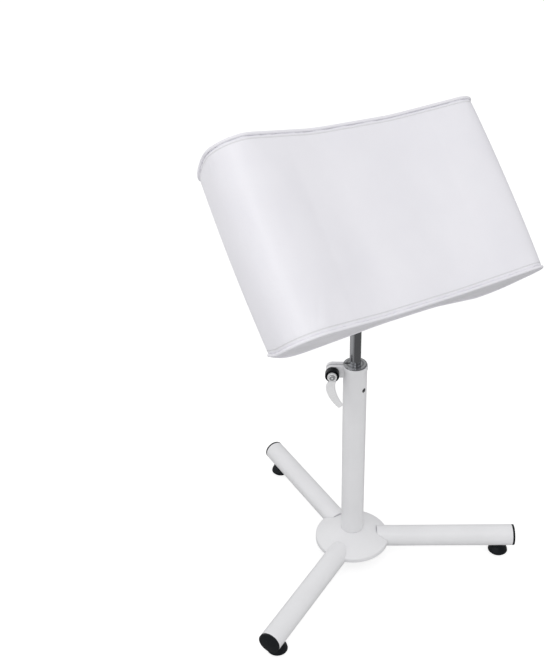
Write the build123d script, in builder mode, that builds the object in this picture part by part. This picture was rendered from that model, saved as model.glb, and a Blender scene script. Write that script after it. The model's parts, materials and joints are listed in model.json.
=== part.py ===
from build123d import *
import math
import os

os.makedirs("parts", exist_ok=True)

# Clearances. A running fit is radial, a close fit is between two pieces of one body.
running_clearance = 0.05
close_clearance = 0.1
face_clearance = 0.05

# Legs
leg_sides = ["right", "rear", "front"]
leg_angles = {side: place * 360 / len(leg_sides) for place, side in enumerate(leg_sides)}
leg_diameter = 32.0
leg_wall = 2.0
leg_axis_height = 31.5
leg_start = 38.5
leg_reach = 248.0
leg_end_plate_thickness = 3.0
leg_radius = leg_diameter / 2
leg_bore_radius = leg_radius - leg_wall

# Caps in the outer ends of the legs
cap_rim_length = 3.2
cap_crown = 1.3
cap_plug_length = 14.0
cap_plug_wall = 2.5

# Glides under the legs and their screws
glide_inset = 19.0
glide_reach = leg_reach - glide_inset
glide_foot_radius = 13.0
glide_widest_radius = 15.0
glide_widest_height = 2.3
glide_shoulder_radius = 14.2
glide_shoulder_height = 5.5
glide_neck_radius = 10.5
glide_neck_height = 13.0
glide_recess_radius = 4.6
glide_recess_depth = 4.2
glide_screw_radius = 2.1
glide_screw_head_radius = 4.0
glide_screw_head_height = 2.8
glide_screw_length = 17.0
glide_screw_drive_across = 2.6
glide_screw_drive_depth = 1.6

# Pressed cover plate that the legs are slotted on
dome_radius = 56.5
dome_rim_top = 34.9
dome_rim_height = 6.6
dome_rim_round = 3.0
dome_thickness = 3.0
dome_top = 52.2
dome_sag = 1.6

# Column
column_diameter = 34.0
column_wall = 2.0
column_foot = 30.0
column_top = 352.5
column_lip_diameter = 36.0
column_lip_height = 6.0
column_lip_round = 1.2
column_radius = column_diameter / 2
column_bore_radius = column_radius - column_wall

# Plug in the foot of the column
plug_flange_radius = 16.4
plug_flange_thickness = 2.0
plug_length = 12.0
plug_wall = 2.5

# Saw slot at the top of the column, which the clamp closes
slot_angle = 177.0
slot_width = 3.0
slot_depth = 45.0
slot_relief_radius = 2.6

# Guide bushing in the top of the column and its set screw
bushing_length = 50.0
bushing_flange_radius = 16.6
bushing_flange_height = 2.2
bushing_flange_round = 0.6
bushing_screw_angle = -43.0
bushing_screw_height = 316.0
bushing_screw_radius = 2.0
bushing_screw_head_radius = 3.4
bushing_screw_sink = 0.3
bushing_screw_tip_reach = 9.6
bushing_screw_drive_across = 2.0
bushing_screw_drive_depth = 1.2

# Rod, with a thinner journal for the guide ring at its foot
rod_diameter = 16.0
rod_foot = 256.5
journal_radius = 6.0
guide_ring_length = 15.0
guide_ring_radius = 14.92
guide_ring_chamfer = 0.8
foot_washer_radius = 12.0
foot_washer_thickness = 2.0
foot_screw_radius = 2.5
foot_screw_head_radius = 4.5
foot_screw_head_height = 3.0
foot_screw_length = 14.0
foot_screw_drive_across = 3.0
foot_screw_drive_depth = 1.5
rod_radius = rod_diameter / 2

# Clamp lugs, the washer, the clamp screw and its spindle, with lengths along the screw
clamp_reach = 32.0
clamp_drop = 9.0
lug_thickness = 5.5
lug_end_radius = 9.0
lug_root = 12.0
clamp_thread_radius = 4.0
clamp_thread_tip = 2.0
front_lug_hole_radius = 4.3
clamp_washer_radius = 8.5
clamp_washer_thickness = 1.2
clamp_collar_radius = 10.0
clamp_collar_length = 10.0
clamp_collar_base = 2.0
clamp_collar_bore_radius = 7.0
clamp_collar_round = 1.0
spline_count = 16
spline_tip_radius = 4.6
spline_root_radius = 4.1
spline_length = 2.2
pilot_radius = 4.0
pilot_length = 1.6
handle_screw_radius = 2.0
handle_screw_depth = 7.0

# Clamp handle, its spring and its screw
hub_radius = 6.6
hub_length = 10.8
hub_web_thickness = 1.4
hub_recess_radius = 4.7
handle_screw_hole_radius = 2.3
spring_space = 4.6
spring_radius = 3.5
spring_wire_radius = 0.25
spring_pitch = 1.2
spring_end_gap = 0.45
handle_screw_head_radius = 4.25
handle_screw_head_height = 2.4
handle_screw_head_round = 0.7
handle_screw_drive_across = 2.5
handle_screw_drive_depth = 1.5
arm_drops = [5.5, 13.0, 24.0, 35.0, 46.0]
arm_offsets = [1.5, -2.0, -0.3, 4.8, 13.0]
arm_forwards = [10.6, 11.2, 12.2, 13.0, 14.2]
arm_swings = [0, 0, 16, 30, 42]
arm_widths = [9.0, 13.2, 12.6, 10.6, 8.2]
arm_depths = [4.0, 4.8, 7.0, 6.8, 6.0]
arm_corner_share = 0.42
arm_tip_round = 2.2

# Tilt head: rod eye, fork, hinge bolt. Heights are from the hinge axis.
pivot_height = 556.8
hinge_angle = 43.9
tilt_angle = 47.5
eye_radius = 13.0
eye_thickness = 14.0
eye_hole_radius = 5.05
eye_collar_radius = 11.0
eye_collar_bottom = 30.0
eye_collar_top = 15.0
eye_collar_chamfer = 1.0
eye_tongue_foot = 17.0
rod_top_drop = 18.0
friction_washer_radius = 12.0
friction_washer_thickness = 1.1
fork_cheek_thickness = 4.0
fork_web_underside = 21.5
fork_web_thickness = 4.0
fork_web_length = 40.0
fork_web_width = 32.0
fork_web_corner = 4.0
hinge_bolt_radius = 5.0
hinge_bolt_hole_radius = 5.1
hinge_washer_radius = 10.0
hinge_washer_thickness = 1.5
hinge_bolt_head_across = 17.0
hinge_bolt_head_height = 6.4
hinge_bolt_tip = 2.0
hinge_nut_height = 10.0
hinge_nut_chamfer = 1.2

# Turning joint between the fork and the cushion plate
turn_angle = -8.5
turn_bolt_radius = 4.0
turn_bolt_tip = 13.6
turn_bolt_head_radius = 7.6
turn_nut_across = 13.0
turn_nut_height = 6.0
turn_washer_radius = 7.8
turn_washer_thickness = 0.8
friction_disc_radius = 15.0
friction_disc_thickness = 1.6
plate_across = 58.0
plate_along = 110.0
plate_thickness = 4.0
plate_corner = 8.0
plate_screw_spacing_across = 40.0
plate_screw_spacing_along = 90.0
plate_screw_radius = 2.4
plate_screw_hole_radius = 2.7
plate_screw_head_radius = 4.6
plate_screw_head_height = 2.4
plate_screw_length = 15.5
plate_screw_drive_across = 2.8
plate_screw_drive_depth = 1.4

# Cushion. The outline is half of a symmetric one, across and up from the waist's underside.
cushion_underside = 32.3
cushion_length = 252.8
end_drawn_in_share = 0.985
waist_bottom_half = 46.0
waist_top_half = 66.0
waist_thickness = 41.0
lobe_half = 230.0
lobe_lean = 28.0
lobe_bottom = -62.0
lobe_top = 74.5
lobe_bottom_round = 40.0
lobe_top_round = 38.0
waist_top_round = 200.0
waist_bottom_round = 100.0
sleeve_thickness = 1.2
piping_radius = 2.2
piping_inset = 1.0
panel_thickness = 1.2
board_end_margin = 40.0
board_length = (lobe_half - board_end_margin) * 2
board_width = 216.0
board_thickness = 12.0
board_corner = 20.0

up = Vector(0, 0, 1)


def heading(angle):
    return Vector(math.cos(math.radians(angle)), math.sin(math.radians(angle)), 0)


def leg_plane(angle, reach):
    return Plane(origin=heading(angle) * reach + up * leg_axis_height, z_dir=heading(angle))


# Directions of the clamp: outward from the column, and forward along the clamp screw
clamp_outward = heading(slot_angle)
clamp_forward = up.cross(clamp_outward)
clamp_height = column_top - clamp_drop
clamp_centre = clamp_outward * clamp_reach + up * clamp_height
column_bore_top = column_top - bushing_length


def clamp_plane(forward):
    return Plane(origin=up * clamp_height + clamp_forward * forward, x_dir=clamp_outward, z_dir=clamp_forward)


# Directions of the tilt head: the hinge, the normal of the cushion and the slope
hinge = heading(hinge_angle)
level_lean = hinge.cross(up)
normal = up * math.cos(math.radians(tilt_angle)) + level_lean * math.sin(math.radians(tilt_angle))
slope = normal.cross(hinge)
pivot = up * pivot_height
cushion_across = hinge * math.cos(math.radians(turn_angle)) + slope * math.sin(math.radians(turn_angle))
cushion_along = normal.cross(cushion_across) * -1


def fork_plane(height):
    return Plane(origin=pivot + normal * height, x_dir=hinge, z_dir=normal)


def hinge_plane(distance):
    return Plane(origin=pivot + hinge * distance, x_dir=slope, z_dir=hinge)


def plan_plane(height):
    return Plane(origin=pivot + normal * height, x_dir=cushion_across, z_dir=normal)


def section_plane(distance):
    origin = pivot + normal * cushion_underside + cushion_along * distance
    return Plane(origin=origin, x_dir=cushion_across, z_dir=cushion_along)


# Cover plate: a pressed dish with a turned-down rim and a hole for the column
def dome_shell(clearance):
    rise = dome_top - dome_rim_top
    run = dome_radius - column_radius
    slope_share = math.hypot(rise, run) / run
    drop = dome_thickness * slope_share + clearance
    hole = column_radius + close_clearance - clearance
    rim_inside = dome_radius - dome_thickness - clearance
    rim_foot = dome_rim_top - dome_rim_height - clearance
    middle = (column_radius + dome_radius) / 2
    middle_top = (dome_top + dome_rim_top) / 2 + dome_sag
    with BuildPart() as shell:
        with BuildSketch(Plane.XZ) as profile:
            with BuildLine():
                Line((dome_radius + clearance, rim_foot), (dome_radius + clearance, dome_rim_top + clearance))
                ThreePointArc(
                    (dome_radius + clearance, dome_rim_top + clearance),
                    (middle, middle_top + clearance),
                    (hole, dome_top + clearance),
                )
                Line((hole, dome_top + clearance), (hole, dome_top - drop))
                ThreePointArc(
                    (hole, dome_top - drop),
                    (middle, middle_top - drop),
                    (rim_inside, dome_rim_top - drop + rise * dome_thickness / run),
                )
                Line((rim_inside, dome_rim_top - drop + rise * dome_thickness / run), (rim_inside, rim_foot))
                Line((rim_inside, rim_foot), (dome_radius + clearance, rim_foot))
            make_face()
            fillet(profile.vertices().group_by(Axis.X)[-1].sort_by(Axis.Y)[-1], radius=dome_rim_round)
        revolve(axis=Axis.Z)
    return shell


base_dome = dome_shell(0)
base_dome.part.label = "base_dome"
export_step(base_dome.part, "parts/base_dome.step")

dome_cutter = dome_shell(close_clearance)


# Legs: tubes with a plate in the inner end, both slotted where the cover plate passes
def build_leg(angle):
    with BuildPart() as leg:
        with BuildSketch(leg_plane(angle, leg_start)):
            Circle(leg_radius)
            Circle(leg_bore_radius, mode=Mode.SUBTRACT)
        extrude(amount=leg_reach - leg_start)
        add(dome_cutter.part, mode=Mode.SUBTRACT)
        with BuildSketch(Plane(origin=heading(angle) * glide_reach)):
            Circle(glide_screw_radius + running_clearance)
        extrude(amount=leg_axis_height, mode=Mode.SUBTRACT)
    return leg


def build_leg_end_plate(angle):
    with BuildPart() as end_plate:
        with BuildSketch(leg_plane(angle, leg_start)):
            Circle(leg_bore_radius - close_clearance)
        extrude(amount=leg_end_plate_thickness)
        add(dome_cutter.part, mode=Mode.SUBTRACT)
    return end_plate


# Caps: a crowned rim and a hollow plug inside the leg
def build_cap(angle):
    plug_radius = leg_bore_radius - close_clearance
    plane = leg_plane(angle, leg_reach)
    with BuildPart() as cap:
        with BuildSketch(Plane(origin=plane.origin, x_dir=up, z_dir=up.cross(plane.z_dir))):
            with BuildLine():
                Polyline(
                    (0, cap_rim_length + cap_crown),
                    (0, -cap_plug_length),
                    (plug_radius, -cap_plug_length),
                    (plug_radius, 0),
                    (leg_radius, 0),
                    (leg_radius, cap_rim_length),
                )
                TangentArc((0, cap_rim_length + cap_crown), (leg_radius, cap_rim_length), tangent=(1, 0))
            make_face()
        revolve(axis=Axis(plane.origin, plane.z_dir))
        with BuildSketch(leg_plane(angle, leg_reach - cap_plug_length)):
            Circle(plug_radius - cap_plug_wall)
        extrude(amount=cap_plug_length - cap_plug_wall, mode=Mode.SUBTRACT)
    return cap


# Glides: a bell with a saddle for the leg and a recess for its screw
def build_glide(angle):
    foot = heading(angle) * glide_reach
    with BuildPart() as glide:
        with BuildSketch(Plane(origin=foot, x_dir=heading(angle), z_dir=up.cross(heading(angle)) * -1)):
            with BuildLine():
                Polyline(
                    (glide_neck_radius, glide_neck_height),
                    (glide_neck_radius, leg_axis_height),
                    (0, leg_axis_height),
                    (0, 0),
                    (glide_foot_radius, 0),
                    (glide_widest_radius, glide_widest_height),
                    (glide_shoulder_radius, glide_shoulder_height),
                    (glide_neck_radius, glide_neck_height),
                )
            make_face()
        revolve(axis=Axis(foot, up))
        with BuildSketch(leg_plane(angle, leg_start)):
            Circle(leg_radius + face_clearance)
        extrude(amount=leg_reach, mode=Mode.SUBTRACT)
        with BuildSketch(Plane(origin=foot)):
            Circle(glide_recess_radius)
        extrude(amount=glide_recess_depth, mode=Mode.SUBTRACT)
        with BuildSketch(Plane(origin=foot)):
            Circle(glide_screw_radius + close_clearance)
        extrude(amount=leg_axis_height, mode=Mode.SUBTRACT)
    return glide


for side, angle in leg_angles.items():
    leg = build_leg(angle)
    leg.part.label = "leg_" + side
    export_step(leg.part, "parts/leg_" + side + ".step")

    cap = build_cap(angle)
    cap.part.label = "end_cap_" + side
    export_step(cap.part, "parts/end_cap_" + side + ".step")

    glide = build_glide(angle)
    glide.part.label = "glide_" + side
    export_step(glide.part, "parts/glide_" + side + ".step")

with BuildPart() as leg_end_plates:
    for angle in leg_angles.values():
        add(build_leg_end_plate(angle).part)
leg_end_plates.part.label = "leg_end_plates"
export_step(leg_end_plates.part, "parts/leg_end_plates.step")

with BuildPart() as glide_screws:
    for angle in leg_angles.values():
        seat = heading(angle) * glide_reach + up * glide_recess_depth
        with BuildSketch(Plane(origin=seat)):
            Circle(glide_screw_radius)
        extrude(amount=glide_screw_length)
        with BuildSketch(Plane(origin=seat)):
            Circle(glide_screw_head_radius)
        extrude(amount=-glide_screw_head_height)
        with BuildSketch(Plane(origin=seat - up * glide_screw_head_height)):
            Rectangle(glide_screw_drive_across, glide_screw_drive_across)
        extrude(amount=glide_screw_drive_depth, mode=Mode.SUBTRACT)
glide_screws.part.label = "glide_screws"
export_step(glide_screws.part, "parts/glide_screws.step")

# Column: a tube with a swaged lip, a saw slot for the clamp and a countersunk hole
bushing_screw_heading = heading(bushing_screw_angle)
bushing_screw_seat = bushing_screw_heading * (column_radius - bushing_screw_sink) + up * bushing_screw_height
bushing_screw_plane = Plane(origin=bushing_screw_seat, x_dir=up, z_dir=bushing_screw_heading)


def column_outside(clearance):
    with BuildPart() as outside:
        with BuildSketch(Plane.XY.offset(column_foot)):
            Circle(column_radius + clearance)
        extrude(amount=column_top - column_foot)
        with BuildSketch(Plane.XY.offset(column_top - column_lip_height)):
            Circle(column_lip_diameter / 2 + clearance)
        extrude(amount=column_lip_height)
        lip_edges = outside.edges().filter_by(GeomType.CIRCLE).sort_by(SortBy.RADIUS)[-2:]
        fillet(lip_edges.sort_by(Axis.Z)[-1], radius=column_lip_round)
    return outside


with BuildPart() as column_tube:
    add(column_outside(0).part)
    with BuildSketch(Plane.XY.offset(column_foot)):
        Circle(column_bore_radius)
    extrude(amount=column_top - column_foot, mode=Mode.SUBTRACT)
    with BuildSketch(Plane(origin=up * column_top, x_dir=clamp_forward, z_dir=clamp_outward)):
        Rectangle(slot_width, slot_depth * 2)
        with Locations((0, -slot_depth)):
            Circle(slot_relief_radius)
    extrude(amount=column_diameter, mode=Mode.SUBTRACT)
    with BuildSketch(bushing_screw_plane):
        Circle(bushing_screw_radius + close_clearance)
    extrude(amount=-column_radius, mode=Mode.SUBTRACT)
    with BuildSketch(bushing_screw_plane):
        Circle(bushing_screw_head_radius + close_clearance)
    extrude(
        amount=-(bushing_screw_head_radius - bushing_screw_radius),
        taper=45,
        mode=Mode.SUBTRACT,
    )
    with BuildSketch(bushing_screw_plane):
        Circle(bushing_screw_head_radius + close_clearance)
    extrude(amount=column_wall, mode=Mode.SUBTRACT)
column_tube.part.label = "column_tube"
export_step(column_tube.part, "parts/column_tube.step")

# Plug that closes the foot of the column
with BuildPart() as column_plug:
    with BuildSketch(Plane.XY.offset(column_foot - plug_flange_thickness)):
        Circle(plug_flange_radius)
    extrude(amount=plug_flange_thickness)
    with BuildSketch(Plane.XY.offset(column_foot)):
        Circle(column_bore_radius - close_clearance)
        Circle(column_bore_radius - close_clearance - plug_wall, mode=Mode.SUBTRACT)
    extrude(amount=plug_length)
column_plug.part.label = "column_plug"
export_step(column_plug.part, "parts/column_plug.step")

# Split guide bushing with a flange on top of the column
with BuildPart() as guide_bushing:
    with BuildSketch(Plane.XY.offset(column_bore_top)):
        Circle(column_bore_radius - running_clearance)
    extrude(amount=bushing_length)
    with BuildSketch(Plane.XY.offset(column_top)):
        Circle(bushing_flange_radius)
    extrude(amount=bushing_flange_height)
    fillet(guide_bushing.edges().filter_by(GeomType.CIRCLE).group_by(Axis.Z)[-1], radius=bushing_flange_round)
    with BuildSketch(Plane.XY.offset(column_bore_top)):
        Circle(rod_radius + running_clearance)
    extrude(amount=bushing_length + bushing_flange_height, mode=Mode.SUBTRACT)
    with BuildSketch(Plane(origin=up * column_top, x_dir=clamp_forward, z_dir=clamp_outward)):
        Rectangle(slot_width, (bushing_length + bushing_flange_height) * 2)
    extrude(amount=column_diameter, mode=Mode.SUBTRACT)
    pocket_floor = bushing_screw_heading * (bushing_screw_tip_reach - close_clearance)
    with BuildSketch(Plane(origin=pocket_floor + up * bushing_screw_height, z_dir=bushing_screw_heading)):
        Circle(bushing_screw_radius + running_clearance)
    extrude(amount=column_radius, mode=Mode.SUBTRACT)
guide_bushing.part.label = "guide_bushing"
export_step(guide_bushing.part, "parts/guide_bushing.step")

with BuildPart() as bushing_screw:
    with BuildSketch(bushing_screw_plane):
        Circle(bushing_screw_radius)
    extrude(amount=-(column_radius - bushing_screw_sink - bushing_screw_tip_reach))
    with BuildSketch(bushing_screw_plane):
        Circle(bushing_screw_head_radius)
    extrude(amount=-(bushing_screw_head_radius - bushing_screw_radius), taper=45)
    with BuildSketch(bushing_screw_plane):
        RegularPolygon(bushing_screw_drive_across / 2, 6, major_radius=False)
    extrude(amount=-bushing_screw_drive_depth, mode=Mode.SUBTRACT)
bushing_screw.part.label = "bushing_screw"
export_step(bushing_screw.part, "parts/bushing_screw.step")

# Rod with its journal, and the guide ring, washer and screw at its foot
journal_length = guide_ring_length + face_clearance * 2

with BuildPart() as rod:
    with BuildSketch(Plane.XY.offset(rod_foot)):
        Circle(journal_radius)
    extrude(amount=journal_length)
    with BuildSketch(Plane.XY.offset(rod_foot + journal_length)):
        Circle(rod_radius)
    extrude(amount=pivot_height - rod_top_drop - rod_foot - journal_length)
    with BuildSketch(Plane.XY.offset(rod_foot)):
        Circle(foot_screw_radius + running_clearance)
    extrude(amount=foot_screw_length, mode=Mode.SUBTRACT)
rod.part.label = "rod"
export_step(rod.part, "parts/rod.step")

with BuildPart() as guide_ring:
    with BuildSketch(Plane.XY.offset(rod_foot + face_clearance)):
        Circle(guide_ring_radius)
        Circle(journal_radius + running_clearance, mode=Mode.SUBTRACT)
    extrude(amount=guide_ring_length)
    outer_edges = guide_ring.edges().filter_by(GeomType.CIRCLE).sort_by(SortBy.RADIUS)[-2:]
    chamfer(outer_edges, length=guide_ring_chamfer)
guide_ring.part.label = "guide_ring"
export_step(guide_ring.part, "parts/guide_ring.step")

with BuildPart() as foot_washer:
    with BuildSketch(Plane.XY.offset(rod_foot)):
        Circle(foot_washer_radius)
        Circle(foot_screw_radius + close_clearance, mode=Mode.SUBTRACT)
    extrude(amount=-foot_washer_thickness)
foot_washer.part.label = "foot_washer"
export_step(foot_washer.part, "parts/foot_washer.step")

foot_screw_seat = rod_foot - foot_washer_thickness

with BuildPart() as foot_screw:
    with BuildSketch(Plane.XY.offset(foot_screw_seat)):
        Circle(foot_screw_radius)
    extrude(amount=foot_screw_length)
    with BuildSketch(Plane.XY.offset(foot_screw_seat)):
        Circle(foot_screw_head_radius)
    extrude(amount=-foot_screw_head_height)
    with BuildSketch(Plane.XY.offset(foot_screw_seat - foot_screw_head_height)):
        RegularPolygon(foot_screw_drive_across / 2, 6, major_radius=False)
    extrude(amount=foot_screw_drive_depth, mode=Mode.SUBTRACT)
foot_screw.part.label = "foot_screw"
export_step(foot_screw.part, "parts/foot_screw.step")

# Clamp lugs on both sides of the saw slot, shaped to the column
column_cutter = column_outside(face_clearance)


def build_lug(start, hole_radius):
    with BuildPart() as lug:
        with BuildSketch(clamp_plane(start)):
            with Locations(((clamp_reach + lug_root) / 2, 0)):
                Rectangle(clamp_reach - lug_root, lug_end_radius * 2)
            with Locations((clamp_reach, 0)):
                Circle(lug_end_radius)
        extrude(amount=lug_thickness)
        add(column_cutter.part, mode=Mode.SUBTRACT)
        with BuildSketch(clamp_plane(start)):
            with Locations((clamp_reach, 0)):
                Circle(hole_radius)
        extrude(amount=lug_thickness, mode=Mode.SUBTRACT)
    return lug


lug_front_face = slot_width / 2 + lug_thickness
lug_front = build_lug(slot_width / 2, front_lug_hole_radius)
lug_front.part.label = "lug_front"
export_step(lug_front.part, "parts/lug_front.step")

lug_rear = build_lug(-lug_front_face, clamp_thread_radius + running_clearance)
lug_rear.part.label = "lug_rear"
export_step(lug_rear.part, "parts/lug_rear.step")

# Clamp washer
washer_start = lug_front_face + close_clearance

with BuildPart() as clamp_washer:
    with BuildSketch(clamp_plane(washer_start)):
        with Locations((clamp_reach, 0)):
            Circle(clamp_washer_radius)
            Circle(clamp_thread_radius + close_clearance, mode=Mode.SUBTRACT)
    extrude(amount=clamp_washer_thickness)
clamp_washer.part.label = "clamp_washer"
export_step(clamp_washer.part, "parts/clamp_washer.step")


# Outline of the splines on the clamp screw and in the handle
def spline_points(clearance):
    points = []
    for step in range(spline_count * 2):
        radius = spline_tip_radius if step % 2 == 0 else spline_root_radius
        angle = math.pi * step / spline_count
        points.append(
            (
                clamp_reach + (radius + clearance) * math.cos(angle),
                (radius + clearance) * math.sin(angle),
            )
        )
    return points


# Clamp screw: thread, a collar like a cup, and in the cup the splines and a smooth pilot
collar_start = washer_start + clamp_washer_thickness
cup_floor = collar_start + clamp_collar_base
pilot_start = cup_floor + spline_length
pilot_end = pilot_start + pilot_length

with BuildPart() as clamp_screw:
    with BuildSketch(clamp_plane(collar_start)):
        with Locations((clamp_reach, 0)):
            Circle(clamp_collar_radius)
    extrude(amount=clamp_collar_length)
    fillet(clamp_screw.edges().filter_by(GeomType.CIRCLE), radius=clamp_collar_round)
    with BuildSketch(clamp_plane(cup_floor)):
        with Locations((clamp_reach, 0)):
            Circle(clamp_collar_bore_radius)
    extrude(amount=clamp_collar_length, mode=Mode.SUBTRACT)
    with BuildSketch(clamp_plane(collar_start)):
        with Locations((clamp_reach, 0)):
            Circle(clamp_thread_radius)
    extrude(amount=-(collar_start + lug_front_face + clamp_thread_tip))
    with BuildSketch(clamp_plane(cup_floor)):
        with BuildLine():
            Polyline(*spline_points(0), close=True)
        make_face()
    extrude(amount=spline_length)
    with BuildSketch(clamp_plane(pilot_start)):
        with Locations((clamp_reach, 0)):
            Circle(pilot_radius)
    extrude(amount=pilot_length)
    with BuildSketch(clamp_plane(pilot_end)):
        with Locations((clamp_reach, 0)):
            Circle(handle_screw_radius + running_clearance)
    extrude(amount=-(handle_screw_depth + close_clearance), mode=Mode.SUBTRACT)
clamp_screw.part.label = "clamp_screw"
export_step(clamp_screw.part, "parts/clamp_screw.step")

# Clamp handle: a hub with splines and a recess, and a curved arm that crosses the rim of the cup
hub_start = cup_floor + close_clearance
web_start = pilot_end + close_clearance
web_end = web_start + hub_web_thickness
hub_end = hub_start + hub_length


def arm_plane(drop, offset, forward, swing):
    course = up * -math.cos(math.radians(swing)) + clamp_outward * -math.sin(math.radians(swing))
    origin = clamp_centre + clamp_forward * (cup_floor + forward) + up * -drop + clamp_outward * -offset
    return Plane(origin=origin, x_dir=clamp_forward.cross(course), z_dir=course)


with BuildPart() as clamp_handle:
    stations = zip(arm_drops, arm_offsets, arm_forwards, arm_swings)
    for station, width, depth in zip(stations, arm_widths, arm_depths):
        with BuildSketch(arm_plane(*station)):
            RectangleRounded(width, depth, depth * arm_corner_share)
    loft()
    tip_face = clamp_handle.faces().filter_by(GeomType.PLANE).sort_by(Axis.Z)[0]
    fillet(tip_face.edges(), radius=arm_tip_round)
    with BuildSketch(clamp_plane(hub_start)):
        with Locations((clamp_reach, 0)):
            Circle(hub_radius)
    extrude(amount=hub_length)
    with BuildSketch(clamp_plane(hub_start)):
        with BuildLine():
            Polyline(*spline_points(running_clearance), close=True)
        make_face()
    extrude(amount=pilot_start + close_clearance - hub_start, mode=Mode.SUBTRACT)
    with BuildSketch(clamp_plane(hub_start)):
        with Locations((clamp_reach, 0)):
            Circle(pilot_radius + running_clearance)
    extrude(amount=web_start - hub_start, mode=Mode.SUBTRACT)
    with BuildSketch(clamp_plane(hub_start)):
        with Locations((clamp_reach, 0)):
            Circle(handle_screw_hole_radius)
    extrude(amount=hub_length, mode=Mode.SUBTRACT)
    with BuildSketch(clamp_plane(web_end)):
        with Locations((clamp_reach, 0)):
            Circle(hub_recess_radius)
    extrude(amount=hub_length, mode=Mode.SUBTRACT)
clamp_handle.part.label = "clamp_handle"
export_step(clamp_handle.part, "parts/clamp_handle.step")

# Spring in the hub, which keeps the handle on its splines
spring_start = web_end + spring_end_gap
spring_height = spring_space - spring_end_gap * 2
spring_centre = clamp_centre + clamp_forward * spring_start

with BuildPart() as handle_spring:
    with BuildLine():
        coil = Helix(
            pitch=spring_pitch,
            height=spring_height,
            radius=spring_radius,
            center=spring_centre,
            direction=clamp_forward,
        )
    with BuildSketch(Plane(origin=coil @ 0, z_dir=coil % 0)):
        Circle(spring_wire_radius)
    sweep(is_frenet=True)
handle_spring.part.label = "handle_spring"
export_step(handle_spring.part, "parts/handle_spring.step")

head_start = web_end + spring_space

with BuildPart() as handle_screw:
    with BuildSketch(clamp_plane(head_start)):
        with Locations((clamp_reach, 0)):
            Circle(handle_screw_head_radius)
    extrude(amount=handle_screw_head_height)
    head_rim = handle_screw.edges().filter_by(GeomType.CIRCLE).sort_by(Axis(pivot * 0, clamp_forward))[-1]
    fillet(head_rim, radius=handle_screw_head_round)
    with BuildSketch(clamp_plane(head_start)):
        with Locations((clamp_reach, 0)):
            Circle(handle_screw_radius)
    extrude(amount=-(head_start - pilot_end + handle_screw_depth))
    with BuildSketch(clamp_plane(head_start + handle_screw_head_height)):
        with Locations((clamp_reach, 0)):
            RegularPolygon(handle_screw_drive_across / 2, 6, major_radius=False)
    extrude(amount=-handle_screw_drive_depth, mode=Mode.SUBTRACT)
handle_screw.part.label = "handle_screw"
export_step(handle_screw.part, "parts/handle_screw.step")

# Rod eye: a collar on the rod and a tongue with the hinge hole
with BuildPart() as rod_eye:
    with BuildSketch(Plane.XY.offset(pivot_height - eye_collar_bottom)):
        Circle(eye_collar_radius)
    extrude(amount=eye_collar_bottom - eye_collar_top)
    chamfer(rod_eye.edges().filter_by(GeomType.CIRCLE), length=eye_collar_chamfer)
    with BuildSketch(Plane(origin=pivot, x_dir=level_lean, z_dir=hinge * -1)):
        Circle(eye_radius)
        with Locations((0, -eye_tongue_foot / 2)):
            Rectangle(eye_collar_radius * 2 - eye_collar_chamfer * 2, eye_tongue_foot)
        Circle(eye_hole_radius, mode=Mode.SUBTRACT)
    extrude(amount=eye_thickness / 2, both=True)
    with BuildSketch(Plane.XY.offset(pivot_height - eye_collar_bottom)):
        Circle(rod_radius + running_clearance)
    extrude(amount=eye_collar_bottom - rod_top_drop + close_clearance, mode=Mode.SUBTRACT)
rod_eye.part.label = "rod_eye"
export_step(rod_eye.part, "parts/rod_eye.step")

# Friction washers between the eye and the cheeks of the fork
eye_half = eye_thickness / 2
cheek_inside = eye_half + friction_washer_thickness + face_clearance * 2
cheek_outside = cheek_inside + fork_cheek_thickness

with BuildPart() as friction_washers:
    for start in [eye_half + face_clearance, -(cheek_inside - face_clearance)]:
        with BuildSketch(hinge_plane(start)):
            Circle(friction_washer_radius)
            Circle(hinge_bolt_radius + close_clearance, mode=Mode.SUBTRACT)
        extrude(amount=friction_washer_thickness)
friction_washers.part.label = "friction_washers"
export_step(friction_washers.part, "parts/friction_washers.step")

# Fork: two round-ended cheeks under a web
with BuildPart() as fork_bracket:
    for start in [cheek_inside, -cheek_outside]:
        with BuildSketch(hinge_plane(start)):
            Circle(eye_radius)
            with Locations((0, fork_web_underside / 2)):
                Rectangle(eye_radius * 2, fork_web_underside)
            Circle(hinge_bolt_hole_radius, mode=Mode.SUBTRACT)
        extrude(amount=fork_cheek_thickness)
    with BuildSketch(fork_plane(fork_web_underside)):
        RectangleRounded(fork_web_width, fork_web_length, fork_web_corner)
        Circle(turn_bolt_radius + running_clearance, mode=Mode.SUBTRACT)
    extrude(amount=fork_web_thickness)
fork_bracket.part.label = "fork_bracket"
export_step(fork_bracket.part, "parts/fork_bracket.step")

# Hinge bolt, its two washers and its nut
washer_outside = cheek_outside + hinge_washer_thickness

with BuildPart() as hinge_washers:
    for start in [cheek_outside, -washer_outside]:
        with BuildSketch(hinge_plane(start)):
            Circle(hinge_washer_radius)
            Circle(hinge_bolt_radius + close_clearance, mode=Mode.SUBTRACT)
        extrude(amount=hinge_washer_thickness)
hinge_washers.part.label = "hinge_washers"
export_step(hinge_washers.part, "parts/hinge_washers.step")

with BuildPart() as hinge_bolt:
    with BuildSketch(hinge_plane(-washer_outside)):
        RegularPolygon(hinge_bolt_head_across / 2, 6, major_radius=False)
    extrude(amount=-hinge_bolt_head_height)
    with BuildSketch(hinge_plane(-washer_outside)):
        Circle(hinge_bolt_radius)
    extrude(amount=washer_outside * 2 + hinge_nut_height + hinge_bolt_tip)
hinge_bolt.part.label = "hinge_bolt"
export_step(hinge_bolt.part, "parts/hinge_bolt.step")

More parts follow.
